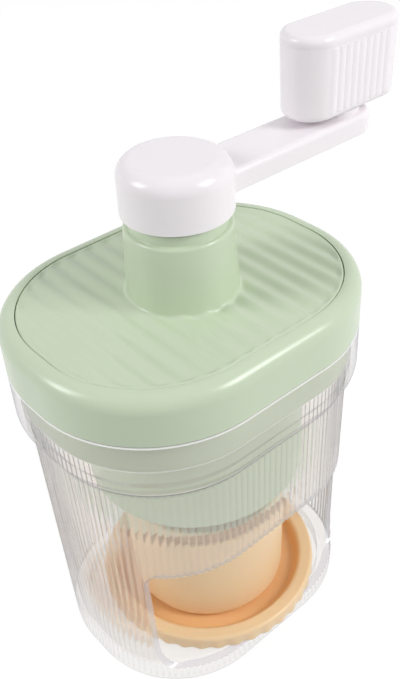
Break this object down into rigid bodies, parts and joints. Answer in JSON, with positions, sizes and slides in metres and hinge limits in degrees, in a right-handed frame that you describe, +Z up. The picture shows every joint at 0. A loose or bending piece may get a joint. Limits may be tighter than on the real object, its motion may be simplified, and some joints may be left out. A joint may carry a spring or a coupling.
{
  "type": "ice shaver with crank",
  "caption": "Countertop ice shaver: a clear body under a lid with a bearing post, a side crank with a spinning grip, a bladed ice chamber, a sprung pusher, and a cup on a dish.",
  "frame": {"origin": "middle of the plane of the foot rim, on the crank's axis", "axes": "+Z up along the crank's axis, +X along the crank arm at rest, -Y out of the front opening"},
  "size_m": [0.1548, 0.096, 0.2144],
  "materials": {
    "clear_plastic": "clear moulded styrene-acrylic with fine upright flutes",
    "lid_sage": "pale sage green moulded plastic with shallow waves on the panel",
    "crank_white": "white satin moulded plastic",
    "hopper_sage": "pale sage green moulded plastic",
    "cup_apricot": "pale apricot moulded plastic",
    "dish_apricot": "pale apricot moulded plastic",
    "pusher_white": "white moulded plastic",
    "bush_acetal": "natural acetal",
    "steel": "stainless steel",
    "spring_steel": "drawn spring wire"
  },
  "bodies": {
    "body": {"clear_body": "clear_plastic"},
    "lid": {"lid_shell": "lid_sage", "lid_panel": "lid_sage", "panel_screws": "steel", "upper_bush": "bush_acetal", "lower_bush": "bush_acetal", "thrust_washer": "steel"},
    "crank": {"crank_handle": "crank_white", "hub_screws": "steel", "drive_tube": "bush_acetal", "retaining_clip": "steel", "spring_seat": "bush_acetal", "pusher_spring": "spring_steel", "knob_axle": "steel", "knob_washer": "bush_acetal"},
    "knob": {"knob_body": "crank_white", "knob_cap": "crank_white"},
    "pusher": {"pusher_rod": "steel", "pusher_disc": "pusher_white", "gripper_plate": "steel", "gripper_screws": "steel"},
    "chamber": {"hopper": "hopper_sage", "blade": "steel", "blade_screws": "steel"},
    "dish": {"serving_dish": "dish_apricot"},
    "cup": {"ice_cup": "cup_apricot"}
  },
  "joints": [
    {"name": "lid_lift", "type": "slide", "parent": "body", "child": "lid", "axis": [0, 0, 1], "range_m": [0, 0.075]},
    {"name": "crank_spin", "type": "hinge", "parent": "lid", "child": "crank", "pos_m": [0, 0, 0.18], "axis": [0, 0, 1], "continuous": true},
    {"name": "knob_spin", "type": "hinge", "parent": "crank", "child": "knob", "pos_m": [0.0714, 0, 0.2], "axis": [0, 0, 1], "continuous": true},
    {"name": "pusher_slide", "type": "slide", "parent": "crank", "child": "pusher", "axis": [0, 0, 1], "range_m": [0, 0.038], "stiffness_N_per_m": 150, "springref_m": -0.02, "deforming": ["pusher_spring"]},
    {"name": "chamber_twist", "type": "hinge", "parent": "lid", "child": "chamber", "pos_m": [0, 0, 0.1], "axis": [0, 0, 1], "range_deg": [-25, 0]},
    {"name": "dish_slide", "type": "slide", "parent": "body", "child": "dish", "axis": [0, -1, 0], "range_m": [0, 0.09]},
    {"name": "cup_lift", "type": "slide", "parent": "dish", "child": "cup", "axis": [0, 0, 1], "range_m": [0, 0.002]}
  ]
}
